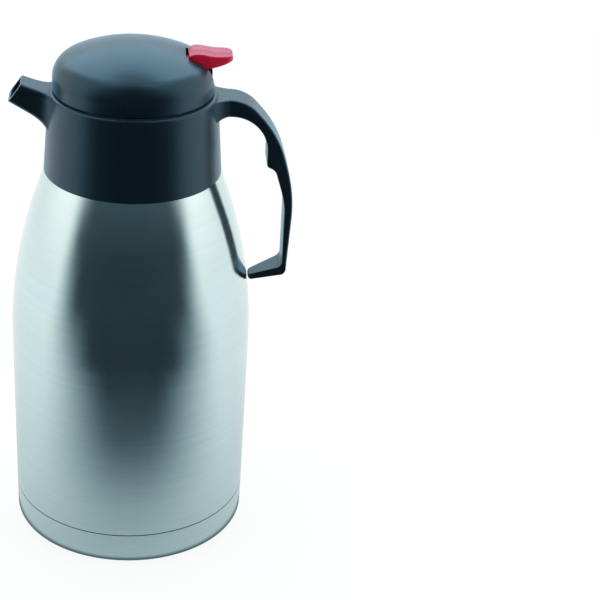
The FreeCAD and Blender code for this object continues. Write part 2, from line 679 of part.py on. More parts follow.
def stopper_body():
    """Turned form of the stopper: flange, wall, deck with stem boss, shoulder, neck and valve seat."""
    inner = STOPPER_RADIUS - STOPPER_WALL
    neck_inner = STOPPER_NECK_RADIUS - STOPPER_WALL
    bore = STEM_RADIUS + STEM_RUNNING_GAP
    groove = STEM_RADIUS + RING_GAP + RING_SECTION_RADIUS * 2 + RING_GAP
    groove_z = DECK_Z - RING_SECTION_RADIUS
    groove_top = groove_z + (RING_SECTION_RADIUS + RING_GAP) * 2
    flange_outer = DOME_RADIUS - DOME_WALL - FIT_GAP
    cone_z = LEDGE_Z - FIT_GAP * 5
    floor = SEAT_Z + STOPPER_WALL
    return revolved(rounded_face(
        (bore, DECK_Z - BOSS_BELOW, 0),
        (BOSS_RADIUS, DECK_Z - BOSS_BELOW, 0),
        (BOSS_RADIUS, DECK_Z, 0),
        (inner, DECK_Z, 0),
        (inner, STOPPER_Z + STOPPER_WALL, 0),
        (neck_inner, STOPPER_Z + STOPPER_WALL, 0),
        (neck_inner, cone_z + STOPPER_WALL / 2, 0),
        (SEAT_LAND_RADIUS - STOPPER_WALL / 2, floor, 0),
        (SEAT_RADIUS, floor, 0),
        (SEAT_RADIUS, SEAT_Z, 0),
        (SEAT_LAND_RADIUS, SEAT_Z, 0),
        (STOPPER_NECK_RADIUS, cone_z, STOPPER_NECK_ROUND),
        (STOPPER_NECK_RADIUS, STOPPER_Z, 0),
        (STOPPER_RADIUS, STOPPER_Z, STOPPER_EDGE_ROUND),
        (STOPPER_RADIUS, FLANGE_Z, 0),
        (flange_outer, FLANGE_Z, 0),
        (flange_outer, FLANGE_Z + FLANGE_THICKNESS, 0),
        (inner, FLANGE_Z + FLANGE_THICKNESS, 0),
        (inner, DECK_Z + STOPPER_WALL, 0),
        (BOSS_RADIUS, DECK_Z + STOPPER_WALL, 0),
        (BOSS_RADIUS, BOSS_TOP_Z, 0),
        (bore, BOSS_TOP_Z, 0),
        (bore, groove_top, 0),
        (groove, groove_top, 0),
        (groove, groove_z, 0),
        (bore, groove_z, 0)))


def pouring_ports():
    """Windows around the stopper's wall that lead to the well and the spout."""
    middle = (STOPPER_Z + STOPPER_WALL + DECK_Z) / 2
    section = section_wire(Vector(0, 0, middle), AXIS, PORT_WIDTH / 2, PORT_HEIGHT / 2, PORT_HEIGHT / 3)
    window = Part.Face(section).extrude(Vector(-STOPPER_RADIUS * 1.2, 0, 0))
    hollow = Part.makeCylinder(STOPPER_RADIUS - STOPPER_WALL * 2, COLLAR_HEIGHT, Vector(0, 0, SEAT_Z))
    window = window.cut(hollow)
    windows = []
    for i in range(PORT_COUNT):
        turned = window.copy()
        turned.rotate(ORIGIN, AXIS, 360 / PORT_COUNT * i)
        windows.append(turned)
    return Part.makeCompound(windows)


def bearing_ear(side):
    """Upright ear on the stopper's deck that carries one end of the lever's pin."""
    foot = DECK_Z + STOPPER_WALL / 2
    half = HUB_RADIUS + LEVER_GAP
    pen = Pen(PIVOT_X - half, foot)
    pen.line(PIVOT_X + half, foot)
    pen.line(PIVOT_X + half, PIVOT_Z)
    pen.curve(PIVOT_X - half, PIVOT_Z)
    ear = slab(pen.face(), EAR_THICKNESS / 2)
    ear.translate(Vector(0, side * (LEVER_ARM_WIDTH / 2 + LEVER_GAP + EAR_THICKNESS / 2), 0))
    return ear


def pin_bar(radius):
    """Round bar along the lever's pivot."""
    half = LEVER_ARM_WIDTH / 2 + LEVER_GAP + EAR_THICKNESS + LEVER_GAP
    return cylinder(radius, Vector(PIVOT_X, -half, PIVOT_Z), Vector(PIVOT_X, half, PIVOT_Z))


def make_stopper():
    """Stopper with pouring ports and the lever's bearing ears."""
    body = stopper_body().cut(pouring_ports())
    ears = bearing_ear(-1).fuse(bearing_ear(1)).cut(pin_bar(PIN_RADIUS + PIN_PRESS_GAP))
    return body.fuse(ears).removeSplitter()


def make_stopper_gasket():
    """Silicone ring under the stopper's shoulder, with a rounded sealing edge."""
    inner = STOPPER_NECK_RADIUS + TURNING_GAP
    return ring(inner, GASKET_RADIUS, GASKET_Z, GASKET_Z + GASKET_THICKNESS, GASKET_THICKNESS / 4)


def make_lever_pin():
    """Steel pivot pin of the lever."""
    return pin_bar(PIN_RADIUS)


def lever_arm():
    """Arm under the cover, from the hub to the thumb pad."""
    reach = LEVER_PAD_START + LEVER_PAD_OVERLAP
    return slab(rounded_face(
        (PIVOT_X, PIVOT_Z - ARM_UNDER_HUB, 0),
        (reach, PIVOT_Z - ARM_UNDER_PAD, 0),
        (reach, PIVOT_Z + ARM_OVER_PAD, 0),
        (LEVER_PAD_START, PIVOT_Z + ARM_OVER_PAD, 0),
        (PIVOT_X, PIVOT_Z + ARM_OVER_HUB, 0)), LEVER_ARM_WIDTH / 2)


def lever_pad():
    """Thumb pad, dished along and across, that thins out to a rounded end."""
    length = LEVER_REACH - LEVER_PAD_START
    sections = []
    for share, top_drop, under_drop, width_share in LEVER_PAD_STATIONS:
        half_width = LEVER_PAD_WIDTH / 2 * width_share
        top = DOME_TOP_Z - top_drop
        under = DOME_TOP_Z - under_drop
        centre = Vector(LEVER_PAD_START + length * share, 0, (top + under) / 2)
        half_height = (top - under) / 2
        sections.append(section_wire(centre, AXIS, half_width, half_height, LEVER_EDGE, LEVER_DISH))
    return Part.makeLoft(sections, True, False)


def make_lever():
    """Thumb lever with hub, pressing nose and pad."""
    half = LEVER_ARM_WIDTH / 2
    hub = cylinder(HUB_RADIUS, Vector(PIVOT_X, -half, PIVOT_Z), Vector(PIVOT_X, half, PIVOT_Z))
    nose_z = CAP_TOP_Z + LEVER_CONTACT_GAP + LEVER_NOSE_RADIUS
    nose = cylinder(LEVER_NOSE_RADIUS, Vector(0, -half, nose_z), Vector(0, half, nose_z))
    blade = lever_arm().fuse([lever_pad(), hub, nose])
    return blade.cut(pin_bar(PIN_RADIUS + PRESS_GAP)).removeSplitter()


def make_valve_stem():
    """Rod from the valve plate to the cap under the lever."""
    return cylinder(STEM_RADIUS, Vector(0, 0, SEAT_Z - STEM_SOCKET_DROP), Vector(0, 0, CAP_TOP_Z - CAP_ROOF))


def make_stem_cap():
    """Head on the rod, flat for the spring below and softly rounded above."""
    bore = STEM_RADIUS + PRESS_GAP / 2
    inside = CAP_TOP_Z - CAP_ROOF + PRESS_GAP
    return revolved(rounded_face(
        (bore, CAP_Z, 0),
        (CAP_RADIUS, CAP_Z, CAP_UNDER_ROUND),
        (CAP_RADIUS, CAP_TOP_Z, CAP_ROUND),
        (0, CAP_TOP_Z, 0),
        (0, inside, 0),
        (bore, inside, 0)))


def make_stem_o_ring():
    """Sealing ring around the rod, in the boss's groove."""
    middle = DECK_Z + RING_GAP
    radius = STEM_RADIUS + RING_GAP + RING_SECTION_RADIUS
    return Part.makeTorus(radius, RING_SECTION_RADIUS, Vector(0, 0, middle))


def make_valve_plate():
    """Disc with a flange inside the valve gasket, a cone and a socket for the rod."""
    gasket_z = SEAT_Z - FIT_GAP - VALVE_GASKET_THICKNESS
    flange_z = gasket_z + (VALVE_GASKET_THICKNESS - VALVE_FLANGE_THICKNESS) / 2
    bottom = gasket_z - VALVE_HUB_DROP
    socket = STEM_RADIUS + PRESS_GAP / 2
    socket_z = SEAT_Z - STEM_SOCKET_DROP - PRESS_GAP
    socket_top = SEAT_Z + VALVE_SOCKET_HEIGHT
    return revolved(rounded_face(
        (0, bottom + DIMPLE_DEPTH, 0),
        (DIMPLE_RADIUS - DIMPLE_DEPTH, bottom + DIMPLE_DEPTH, VALVE_ROUND),
        (DIMPLE_RADIUS, bottom, VALVE_ROUND),
        (VALVE_HUB_RADIUS, bottom, VALVE_ROUND),
        (VALVE_HUB_RADIUS, flange_z, 0),
        (VALVE_FLANGE_RADIUS, flange_z, 0),
        (VALVE_FLANGE_RADIUS, flange_z + VALVE_FLANGE_THICKNESS, 0),
        (VALVE_HUB_RADIUS, flange_z + VALVE_FLANGE_THICKNESS, 0),
        (VALVE_HUB_RADIUS, SEAT_Z, 0),
        (STEM_RADIUS * 2, socket_top, 0),
        (socket, socket_top, 0),
        (socket, socket_z, 0),
        (0, socket_z, 0)))


def make_valve_gasket():
    """Silicone ring with an inner slot that grips the plate's flange."""
    bottom = SEAT_Z - FIT_GAP - VALVE_GASKET_THICKNESS
    top = SEAT_Z - FIT_GAP
    inner = VALVE_HUB_RADIUS + PRESS_GAP
    slot = VALVE_FLANGE_RADIUS + PRESS_GAP
    leaf = (VALVE_GASKET_THICKNESS - VALVE_FLANGE_THICKNESS) / 2 - PRESS_GAP / 2
    return revolved(rounded_face(
        (inner, bottom, 0),
        (VALVE_RADIUS, bottom, VALVE_GASKET_ROUND),
        (VALVE_RADIUS, top, VALVE_GASKET_ROUND),
        (inner, top, 0),
        (inner, top - leaf, 0),
        (slot, top - leaf, 0),
        (slot, bottom + leaf, 0),
        (inner, bottom + leaf, 0)))


def coil_point(turn):
    """Point on the spring's centre line after a number of turns."""
    start = BOSS_TOP_Z + SPRING_WIRE_RADIUS + PRESS_GAP
    length = SPRING_LENGTH - (SPRING_WIRE_RADIUS + PRESS_GAP) * 2
    angle = 2 * math.pi * turn
    rise = length * turn / SPRING_TURNS
    return Vector(SPRING_RADIUS * math.cos(angle), SPRING_RADIUS * math.sin(angle), start + rise)


def make_return_spring():
    """Coil spring on the rod, as one tube along quarter turns."""
    quarters = int(SPRING_TURNS * 4)
    arcs = [Part.Arc(coil_point(i / 4), coil_point((i + 0.5) / 4), coil_point((i + 1) / 4)).toShape()
            for i in range(quarters)]
    path = Part.Wire(arcs)
    heading = arcs[0].tangentAt(arcs[0].FirstParameter)
    section = Part.Wire(Part.Circle(coil_point(0), heading, SPRING_WIRE_RADIUS).toShape())
    samples = [coil_point(i / 32) for i in range(int(SPRING_TURNS * 32))]
    gap = min((p - q).Length for i, p in enumerate(samples) for q in samples[i + 16:])
    print("return_spring least gap to itself", round(gap - SPRING_WIRE_RADIUS * 2, 3))
    return path.makePipeShell([section], True, False)


PIECES = {
    "outer_shell": make_outer_shell,
    "base_cup": make_base_cup,
    "jacket_base": make_jacket_base,
    "exhaust_seal": make_exhaust_seal,
    "inner_flask": make_inner_flask,
    "flask_cup": make_flask_cup,
    "getter_cup": make_getter_cup,
    "neck_gasket": make_neck_gasket,
    "collar": make_collar,
    "handle": make_handle,
    "stopper": make_stopper,
    "stopper_gasket": make_stopper_gasket,
    "lid_dome": make_lid_dome,
    "lever": make_lever,
    "lever_pin": make_lever_pin,
    "valve_stem": make_valve_stem,
    "stem_cap": make_stem_cap,
    "return_spring": make_return_spring,
    "stem_o_ring": make_stem_o_ring,
    "valve_plate": make_valve_plate,
    "valve_gasket": make_valve_gasket,
}


def main():
    """Build every piece and write each to its own file."""
    os.makedirs("parts", exist_ok=True)
    for name, make in PIECES.items():
        shape = make()
        print(name, shape.ShapeType, shape.isValid(), len(shape.Solids), round(shape.Volume, 1))
        shape.exportStep("parts/" + name + ".step")


main()
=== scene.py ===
"""Looks of a steel vacuum jug with a thumb-lever lid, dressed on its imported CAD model.

All sizes are in metres, in the jug's own frame: it stands on z = 0, its spout points to -x and its
handle to +x.
"""

import json
import logging
import math
from dataclasses import dataclass, field
from enum import Enum

import bmesh
import bpy
from mathutils import Matrix, Vector

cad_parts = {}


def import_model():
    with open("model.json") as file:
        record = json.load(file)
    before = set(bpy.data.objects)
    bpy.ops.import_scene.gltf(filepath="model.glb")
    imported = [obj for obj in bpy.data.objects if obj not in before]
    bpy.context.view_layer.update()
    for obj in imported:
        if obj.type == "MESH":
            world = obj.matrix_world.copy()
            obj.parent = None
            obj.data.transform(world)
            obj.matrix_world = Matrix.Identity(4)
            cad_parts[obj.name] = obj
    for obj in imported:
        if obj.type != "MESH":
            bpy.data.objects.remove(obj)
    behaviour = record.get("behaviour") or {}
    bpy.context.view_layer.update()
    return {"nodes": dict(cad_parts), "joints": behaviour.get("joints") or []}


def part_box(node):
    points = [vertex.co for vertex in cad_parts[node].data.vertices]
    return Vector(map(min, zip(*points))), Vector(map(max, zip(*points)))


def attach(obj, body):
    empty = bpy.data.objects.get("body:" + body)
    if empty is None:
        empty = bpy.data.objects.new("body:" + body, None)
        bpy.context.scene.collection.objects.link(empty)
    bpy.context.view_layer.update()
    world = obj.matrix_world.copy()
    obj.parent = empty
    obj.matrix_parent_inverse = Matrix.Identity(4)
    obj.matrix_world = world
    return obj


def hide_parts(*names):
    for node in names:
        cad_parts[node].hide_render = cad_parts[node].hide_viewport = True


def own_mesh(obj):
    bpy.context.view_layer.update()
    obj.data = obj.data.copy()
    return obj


LOG = logging.getLogger("vacuum_jug")
MM = 0.001
THREAD_PITCH = 16.0 * MM

Colour = tuple[float, float, float]
Point = tuple[float, float, float]


class Body(Enum):
    """The bodies that carry the pieces made here."""

    JUG = "jug"
    LID = "lid"


class Slot(Enum):
    """The finishes that the part's record names."""

    BRUSHED_STEEL = "brushed_steel"
    PLAIN_STEEL = "plain_steel"
    BRAZE = "braze"
    GETTER = "getter_metal"
    BLACK = "black_plastic"
    STOPPER = "stopper_plastic"
    VALVE = "valve_plastic"
    RED = "red_plastic"
    PALE_SILICONE = "pale_silicone"
    WHITE_SILICONE = "white_silicone"
    RUBBER = "black_rubber"
    PIN = "pin_steel"
    SPRING = "spring_steel"


class NodeSheet:
    """Adds and links the shader nodes of one node tree."""

    def __init__(self, tree: bpy.types.NodeTree) -> None:
        """Start on a tree.

        Args:
            tree: The material's or group's node tree.
        """
        self.tree = tree

    def add(self, kind: str, **settings: object) -> bpy.types.Node:
        """Add a node.

        Args:
            kind: The node's type name without the ShaderNode prefix.
            settings: Properties to set on the node.

        Returns:
            The new node.
        """
        node = self.tree.nodes.new("ShaderNode" + kind)
        for name, value in settings.items():
            setattr(node, name, value)
        return node

    def feed(self, socket: bpy.types.NodeSocket, value: object) -> None:
        """Link an output to an input, or set the input's own value.

        Args:
            socket: The input.
            value: An output socket, a number or a vector.
        """
        if isinstance(value, bpy.types.NodeSocket):
            self.tree.links.new(value, socket)
        else:
            socket.default_value = value

    def maths(self, operation: str, first: object, second: object = 0.0) -> bpy.types.NodeSocket:
        """Add a Math node.

        Args:
            operation: The node's operation.
            first: Its first value or the output that feeds it.
            second: Its second value or the output that feeds it.

        Returns:
            The node's output.
        """
        node = self.add("Math", operation=operation)
        self.feed(node.inputs[0], first)
        self.feed(node.inputs[1], second)
        return node.outputs[0]

    def noise(self, vector: object, scale: object, detail: float, roughness: float) -> bpy.types.NodeSocket:
        """Add a Noise Texture.

        Args:
            vector: The output that gives its place.
            scale: Features per unit of the vector.
            detail: Octaves.
            roughness: Weight of the finer octaves.

        Returns:
            The noise value.
        """
        node = self.add("TexNoise")
        self.feed(node.inputs["Vector"], vector)
        self.feed(node.inputs["Scale"], scale)
        node.inputs["Detail"].default_value = detail
        node.inputs["Roughness"].default_value = roughness
        return node.outputs["Fac"]

    def spread(self, value: object, low: object, high: object) -> bpy.types.NodeSocket:
        """Map a value of 0 to 1 onto a range.

        Args:
            value: The output to map.
            low: What 0 becomes.
            high: What 1 becomes.

        Returns:
            The mapped output.
        """
        node = self.add("MapRange")
        self.feed(node.inputs["Value"], value)
        self.feed(node.inputs["To Min"], low)
        self.feed(node.inputs["To Max"], high)
        return node.outputs["Result"]

    def mixed(self, share: object, first: object, second: object) -> bpy.types.NodeSocket:
        """Mix two colours.

        Args:
            share: 0 for the first, 1 for the second.
            first: A colour or an output.
            second: A colour or an output.

        Returns:
            The mixed colour.
        """
        node = self.add("Mix", data_type="RGBA")
        self.feed(node.inputs["Factor"], share)
        self.feed(node.inputs["A"], first)
        self.feed(node.inputs["B"], second)
        return node.outputs["Result"]


class Effects:
    """Surface effects that several finishes share, each a node group built once.

    A set of brush lines has its share of the fineness, and how much it changes around the axis. The
    broad part of the grain has a share of the fineness, too.
    """

    FINE_LINES = (1.0, 1.1)
    BROAD_LINES = (0.17, 0.7)
    BROAD_GRAIN = 0.02

    @staticmethod
    def _group(name: str, inputs: dict[str, float], outputs: list[str]) -> tuple[bpy.types.NodeTree, bool]:
        """Find a group or start it.

        Args:
            name: The group's name.
            inputs: Its number inputs with their defaults.
            outputs: Its number outputs.

        Returns:
            The group, and whether it still has to be filled.
        """
        found = bpy.data.node_groups.get(name)
        if found:
            return found, False
        tree = bpy.data.node_groups.new(name, "ShaderNodeTree")
        for label, value in inputs.items():
            socket = tree.interface.new_socket(label, in_out="INPUT", socket_type="NodeSocketFloat")
            socket.default_value = value
        for label in outputs:
            tree.interface.new_socket(label, in_out="OUTPUT", socket_type="NodeSocketFloat")
        return tree, True

    @classmethod
    def brush_lines(cls) -> bpy.types.NodeTree:
        """Fine lines around the z axis, as a brush leaves them on a turning pot.

        Returns:
            A group with Fineness in, Height and Tone out.
        """
        tree, empty = cls._group("brush_lines", {"Fineness": 4000.0}, ["Height", "Tone"])
        if not empty:
            return tree
        sheet = NodeSheet(tree)
        given = tree.nodes.new("NodeGroupInput")
        out = tree.nodes.new("NodeGroupOutput")
        place = sheet.add("SeparateXYZ")
        sheet.feed(place.inputs[0], sheet.add("TexCoord").outputs["Object"])
        across = sheet.add("CombineXYZ")
        sheet.feed(across.inputs["X"], place.outputs["X"])
        sheet.feed(across.inputs["Y"], place.outputs["Y"])
        length = sheet.add("VectorMath", operation="LENGTH")
        sheet.feed(length.inputs[0], across.outputs[0])
        unit = sheet.add("VectorMath", operation="NORMALIZE")
        sheet.feed(unit.inputs[0], across.outputs[0])
        along = sheet.maths("ADD", place.outputs["Z"], length.outputs["Value"])
        values = []
        for share, sweep in (cls.FINE_LINES, cls.BROAD_LINES):
            fineness = sheet.maths("MULTIPLY", given.outputs["Fineness"], share)
            height = sheet.maths("MULTIPLY", along, fineness)
            turn = sheet.add("VectorMath", operation="SCALE")
            sheet.feed(turn.inputs[0], unit.outputs[0])
            sheet.feed(turn.inputs["Scale"], sweep)
            lift = sheet.add("CombineXYZ")
            sheet.feed(lift.inputs["Z"], height)
            vector = sheet.add("VectorMath", operation="ADD")
            sheet.feed(vector.inputs[0], turn.outputs[0])
            sheet.feed(vector.inputs[1], lift.outputs[0])
            values.append(sheet.noise(vector.outputs[0], scale=1.0, detail=2.0, roughness=0.6))
        fine, broad = values
        sheet.feed(out.inputs["Height"], fine)
        sheet.feed(out.inputs["Tone"], broad)
        return tree

    @classmethod
    def moulded_grain(cls) -> bpy.types.NodeTree:
        """Fine spark-eroded grain of a moulded surface.

        Returns:
            A group with Fineness in, Height and Tone out.
        """
        tree, empty = cls._group("moulded_grain", {"Fineness": 2600.0}, ["Height", "Tone"])
        if not empty:
            return tree
        sheet = NodeSheet(tree)
        given = tree.nodes.new("NodeGroupInput")
        out = tree.nodes.new("NodeGroupOutput")
        place = sheet.add("TexCoord").outputs["Object"]
        fine = sheet.noise(place, given.outputs["Fineness"], detail=3.0, roughness=0.55)
        broad_scale = sheet.maths("MULTIPLY", given.outputs["Fineness"], cls.BROAD_GRAIN)
        broad = sheet.noise(place, broad_scale, detail=2.0, roughness=0.5)
        sheet.feed(out.inputs["Height"], fine)
        sheet.feed(out.inputs["Tone"], broad)
        return tree

    @classmethod
    def handling_marks(cls) -> bpy.types.NodeTree:
        """Faint patches where hands and cloths have changed the gloss.

        Returns:
            A group with Spread in and Mask out.
        """
        tree, empty = cls._group("handling_marks", {"Spread": 38.0}, ["Mask"])
        if not empty:
            return tree
        sheet = NodeSheet(tree)
        given = tree.nodes.new("NodeGroupInput")
        out = tree.nodes.new("NodeGroupOutput")
        place = sheet.add("TexCoord").outputs["Object"]
        patches = sheet.noise(place, given.outputs["Spread"], detail=4.0, roughness=0.6)
        node = sheet.add("MapRange", interpolation_type="SMOOTHSTEP")
        sheet.feed(node.inputs["Value"], patches)
        node.inputs["From Min"].default_value = 0.42
        node.inputs["From Max"].default_value = 0.68
        sheet.feed(out.inputs["Mask"], node.outputs["Result"])
        return tree


def place_group(sheet: NodeSheet, tree: bpy.types.NodeTree, **values: float) -> bpy.types.Node:
    """Put a shared effect into a material.

    Args:
        sheet: The material's sheet.
        tree: The effect's group.
        values: Its inputs by name.

    Returns:
        The group node.
    """
    node = sheet.add("Group", node_tree=tree)
    for name, value in values.items():
        node.inputs[name].default_value = value
    return node


def new_material(name: str) -> tuple[bpy.types.Material, NodeSheet, bpy.types.Node]:
    """Start a material with its Principled shader.

    Args:
        name: The material's name.

    Returns:
        The material, its sheet and its Principled node.
    """
    material = bpy.data.materials.new(name)
    material.use_nodes = True
    return material, NodeSheet(material.node_tree), material.node_tree.nodes["Principled BSDF"]


def scaled(colour: Colour, by: float = 1.0) -> tuple[float, float, float, float]:
    """A colour with full alpha, lighter or darker where a factor is given."""
    return (colour[0] * by, colour[1] * by, colour[2] * by, 1.0)


@dataclass(frozen=True)
class SteelFinish:
    """Stainless steel brushed around the jug's axis."""

    name: str
    colour: Colour = (0.62, 0.77, 0.77)
    roughness: float = 0.16
    anisotropy: float = 0.25
    fineness: float = 3600.0
    line_depth: float = 0.002 * MM
    contrast: float = 0.05
    line_strength: float = 0.6
    line_turn: float = 0.25
    gloss_spread: float = 0.012
    mark_dulling: float = 0.02

    def material(self) -> bpy.types.Material:
        """Build the finish.

        Returns:
            The material.
        """
        material, sheet, shader = new_material(self.name)
        lines = place_group(sheet, Effects.brush_lines(), Fineness=self.fineness)
        marks = place_group(sheet, Effects.handling_marks())
        dark = scaled(self.colour, 1.0 - self.contrast)
        light = scaled(self.colour, 1.0 + self.contrast)
        sheet.feed(shader.inputs["Base Color"], sheet.mixed(lines.outputs["Tone"], dark, light))
        low, high = self.roughness - self.gloss_spread, self.roughness + self.gloss_spread
        dulling = sheet.maths("MULTIPLY", marks.outputs["Mask"], self.mark_dulling)
        rough = sheet.maths("ADD", sheet.spread(lines.outputs["Tone"], low, high), dulling)
        sheet.feed(shader.inputs["Roughness"], rough)
        shader.inputs["Metallic"].default_value = 1.0
        shader.inputs["Anisotropic"].default_value = self.anisotropy
        shader.inputs["Anisotropic Rotation"].default_value = self.line_turn
        tangent = sheet.add("Tangent", direction_type="RADIAL", axis="Z")
        sheet.feed(shader.inputs["Tangent"], tangent.outputs[0])
        bump = sheet.add("Bump")
        bump.inputs["Strength"].default_value = self.line_strength
        bump.inputs["Distance"].default_value = self.line_depth
        sheet.feed(bump.inputs["Height"], lines.outputs["Height"])
        sheet.feed(shader.inputs["Normal"], bump.outputs[0])
        return material


@dataclass(frozen=True)
class PlasticFinish:
    """Moulded plastic with a fine grain."""

    name: str
    colour: Colour
    roughness: float = 0.36
    tint: Colour = (1.0, 1.0, 1.0)
    fineness: float = 2600.0
    grain_depth: float = 0.02 * MM
    index: float = 1.5
    bloom: float = 0.0
    bloom_roughness: float = 0.3
    contrast: float = 0.08
    grain_strength: float = 0.5
    gloss_spread: float = 0.03
    mark_dulling: float = 0.035
    mark_spread: float = 55.0

    def material(self) -> bpy.types.Material:
        """Build the finish.

        Returns:
            The material.
        """
        material, sheet, shader = new_material(self.name)
        grain = place_group(sheet, Effects.moulded_grain(), Fineness=self.fineness)
        marks = place_group(sheet, Effects.handling_marks(), Spread=self.mark_spread)
        dark = scaled(self.colour, 1.0 - self.contrast)
        light = scaled(self.colour, 1.0 + self.contrast)
        sheet.feed(shader.inputs["Base Color"], sheet.mixed(grain.outputs["Tone"], dark, light))
        low, high = self.roughness - self.gloss_spread, self.roughness + self.gloss_spread
        dulling = sheet.maths("MULTIPLY", marks.outputs["Mask"], self.mark_dulling)
        rough = sheet.maths("ADD", sheet.spread(grain.outputs["Height"], low, high), dulling)
        sheet.feed(shader.inputs["Roughness"], rough)
        shader.inputs["Specular Tint"].default_value = scaled(self.tint)
        shader.inputs["IOR"].default_value = self.index
        shader.inputs["Sheen Weight"].default_value = self.bloom
        shader.inputs["Sheen Roughness"].default_value = self.bloom_roughness
        shader.inputs["Sheen Tint"].default_value = scaled(self.tint)
        bump = sheet.add("Bump")
        bump.inputs["Strength"].default_value = self.grain_strength
        bump.inputs["Distance"].default_value = self.grain_depth
        sheet.feed(bump.inputs["Height"], grain.outputs["Height"])
        sheet.feed(shader.inputs["Normal"], bump.outputs[0])
        return material


@dataclass(frozen=True)
class RubberFinish:
    """Silicone or rubber of a sealing ring."""

    name: str
    colour: Colour
    roughness: float = 0.5
    depth: float = 0.0
    depth_share: float = 0.25
    mark_shade: float = 0.93
    mark_spread: float = 90.0
    fineness: float = 1500.0
    grain_depth: float = 0.02 * MM
    grain_strength: float = 0.3
    gloss_spread: float = 0.06

    def material(self) -> bpy.types.Material:
        """Build the finish.

        Returns:
            The material.
        """
        material, sheet, shader = new_material(self.name)
        grain = place_group(sheet, Effects.moulded_grain(), Fineness=self.fineness)
        marks = place_group(sheet, Effects.handling_marks(), Spread=self.mark_spread)
        clean = scaled(self.colour)
        marked = scaled(self.colour, self.mark_shade)
        sheet.feed(shader.inputs["Base Color"], sheet.mixed(marks.outputs["Mask"], clean, marked))
        low, high = self.roughness - self.gloss_spread, self.roughness + self.gloss_spread
        sheet.feed(shader.inputs["Roughness"], sheet.spread(grain.outputs["Tone"], low, high))
        shader.inputs["Subsurface Weight"].default_value = self.depth_share if self.depth else 0.0
        shader.inputs["Subsurface Scale"].default_value = self.depth
        bump = sheet.add("Bump")
        bump.inputs["Strength"].default_value = self.grain_strength
        bump.inputs["Distance"].default_value = self.grain_depth
        sheet.feed(bump.inputs["Height"], grain.outputs["Height"])
        sheet.feed(shader.inputs["Normal"], bump.outputs[0])
        return material


Finish = SteelFinish | PlasticFinish | RubberFinish

FINISHES: dict[Slot, Finish] = {
    Slot.BRUSHED_STEEL: SteelFinish("body_brushed_steel"),
    Slot.PLAIN_STEEL: SteelFinish("flask_satin_steel", (0.62, 0.67, 0.68), 0.36, 0.5, 2200.0),
    Slot.BRAZE: SteelFinish("braze_metal", (0.55, 0.46, 0.32), 0.5, 0.0, 900.0, 0.04 * MM, 0.15),
    Slot.GETTER: SteelFinish("getter_metal", (0.4, 0.41, 0.42), 0.6, 0.0, 900.0, 0.04 * MM, 0.15),
    Slot.BLACK: PlasticFinish(
        "collar_black_plastic", (0.002, 0.0022, 0.003), 0.33, tint=(0.3, 0.72, 1.0), index=1.75, bloom=0.55),
    Slot.STOPPER: PlasticFinish("stopper_black_plastic", (0.016, 0.022, 0.026), 0.38),
    Slot.VALVE: PlasticFinish("valve_grey_plastic", (0.045, 0.05, 0.055), 0.4),
    Slot.RED: PlasticFinish(
        "lever_red_plastic", (0.42, 0.003, 0.016), 0.20, tint=(0.3, 0.36, 1.0), fineness=1800.0,
        grain_depth=0.008 * MM, index=1.7),
    Slot.PALE_SILICONE: RubberFinish("lid_pale_silicone", (0.7, 0.72, 0.69), 0.45, 1.5 * MM),
    Slot.WHITE_SILICONE: RubberFinish("valve_white_silicone", (0.8, 0.8, 0.78), 0.45, 1.5 * MM),
    Slot.RUBBER: RubberFinish("stem_black_rubber", (0.02, 0.02, 0.02), 0.55),
    Slot.PIN: SteelFinish("pin_ground_steel", (0.66, 0.68, 0.69), 0.3, 0.3, 3000.0),
    Slot.SPRING: SteelFinish("spring_wire_steel", (0.58, 0.6, 0.62), 0.34, 0.0, 3000.0),
}


@dataclass
class Wardrobe:
    """Makes each finish once and puts it on nodes and pieces."""

    nodes: dict[str, bpy.types.Object]
    made: dict[Slot, bpy.types.Material] = field(default_factory=dict)

    def material(self, slot: Slot) -> bpy.types.Material:
        """The material of a slot, made at its first use.

        Args:
            slot: The record's slot.

        Returns:
            The material.
        """
        if slot not in self.made:
            self.made[slot] = FINISHES[slot].material()
        return self.made[slot]

    def dress(self, name: str, slot: Slot) -> None:
        """Put a finish on a CAD node.

        Args:
            name: The node.
            slot: The finish.
        """
        node = self.nodes[name]
        node.data.materials.clear()
        node.data.materials.append(self.material(slot))
        LOG.info("dressed %s in %s", name, slot.value)

    def fit(self, piece: bpy.types.Object, body: Body, slot: Slot) -> None:
        """Put a finish on a new piece and let it ride on its body.

        Args:
            piece: The piece.
            body: What it moves with.
            slot: The finish.
        """
        piece.data.materials.append(self.material(slot))
        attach(piece, body.value)
        LOG.info("fitted %s on %s", piece.name, body.value)


def mesh_object(name: str, shape: bmesh.types.BMesh, sharp: float = 40.0) -> bpy.types.Object:
    """Turn a finished bmesh into an object with smooth shading and sharp creases.

    Args:
        name: The object's name.
        shape: The mesh, which is freed.
        sharp: Crease angle in degrees.

    Returns:
        The object, linked to the scene.
    """
    bmesh.ops.recalc_face_normals(shape, faces=shape.faces)
    mesh = bpy.data.meshes.new(name)
    shape.to_mesh(mesh)
    shape.free()
    mesh.polygons.foreach_set("use_smooth", [True] * len(mesh.polygons))
    mesh.set_sharp_from_angle(angle=math.radians(sharp))
    piece = bpy.data.objects.new(name, mesh)
    bpy.context.scene.collection.objects.link(piece)
    return piece


def around(radius: float, angle: float, z: float) -> Point:
    """A point at a distance from the jug's axis, at an angle in radians and a height."""
    return (radius * math.cos(angle), radius * math.sin(angle), z)


